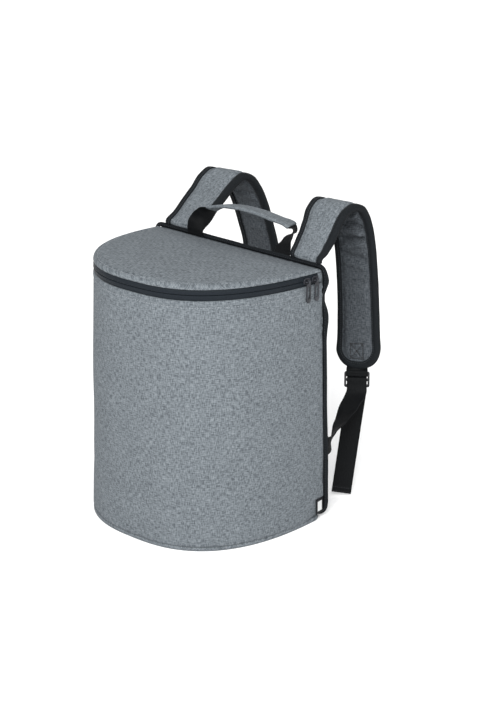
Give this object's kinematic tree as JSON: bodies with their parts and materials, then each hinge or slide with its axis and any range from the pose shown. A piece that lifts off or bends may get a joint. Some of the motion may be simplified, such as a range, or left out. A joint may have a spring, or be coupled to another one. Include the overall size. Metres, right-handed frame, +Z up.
{
  "type": "cooler backpack",
  "caption": "Insulated cooler backpack with a rounded front, a flat padded back, a zipped lid, padded shoulder straps with adjuster webbing and a grab handle.",
  "frame": {"origin": "on the floor, under the middle of the base", "axes": "+Z up, +Y towards the flat back panel and the shoulder straps, the rounded front towards -Y, +X to the wearer's right"},
  "size_m": [0.3009, 0.3588, 0.3913],
  "materials": {
    "body_cloth": "heather grey woven polyester, matt",
    "strap_cloth": "heather grey woven polyester, matt",
    "binding_tape": "dark grosgrain tape, matt",
    "zip_tape": "dark coated zip tape, dull sheen",
    "zip_coil": "nylon coil",
    "zip_metal": "gunmetal",
    "webbing": "black woven webbing",
    "buckle_plastic": "moulded, matt",
    "label_patch": "bare woven patch with a dark rim"
  },
  "bodies": {
    "bag": {"front_panel": "body_cloth", "base_panel": "body_cloth", "back_panel": "body_cloth", "back_binding": "binding_tape", "lid_panel": "body_cloth", "zip_tape_lid": "zip_tape", "zip_tape_body": "zip_tape", "zip_coil": "zip_coil", "zip_end_panel_right": "body_cloth", "zip_end_panel_left": "body_cloth", "zip_slider_1": "zip_metal", "zip_slider_2": "zip_metal", "shoulder_strap_right": "strap_cloth", "shoulder_strap_left": "strap_cloth", "strap_binding_right": "binding_tape", "strap_binding_left": "binding_tape", "buckle_right": "buckle_plastic", "buckle_left": "buckle_plastic", "buckle_loop_right": "webbing", "buckle_loop_left": "webbing", "adjuster_web_right": "webbing", "adjuster_web_left": "webbing", "handle_web": "webbing", "handle_sleeve": "body_cloth", "side_label": "label_patch"},
    "pull_1": {"zip_pull_1": "zip_metal"},
    "pull_2": {"zip_pull_2": "zip_metal"}
  },
  "joints": [
    {"name": "zip_pull_1_swing", "type": "hinge", "parent": "bag", "child": "pull_1", "pos_m": [0.13819, 0.06515, 0.31938], "axis": [-0.048, -0.9988, 0], "range_deg": [0, 160]},
    {"name": "zip_pull_2_swing", "type": "hinge", "parent": "bag", "child": "pull_2", "pos_m": [0.13869, 0.08022, 0.31841], "axis": [-0.0155, -0.9999, 0], "range_deg": [0, 160]}
  ]
}
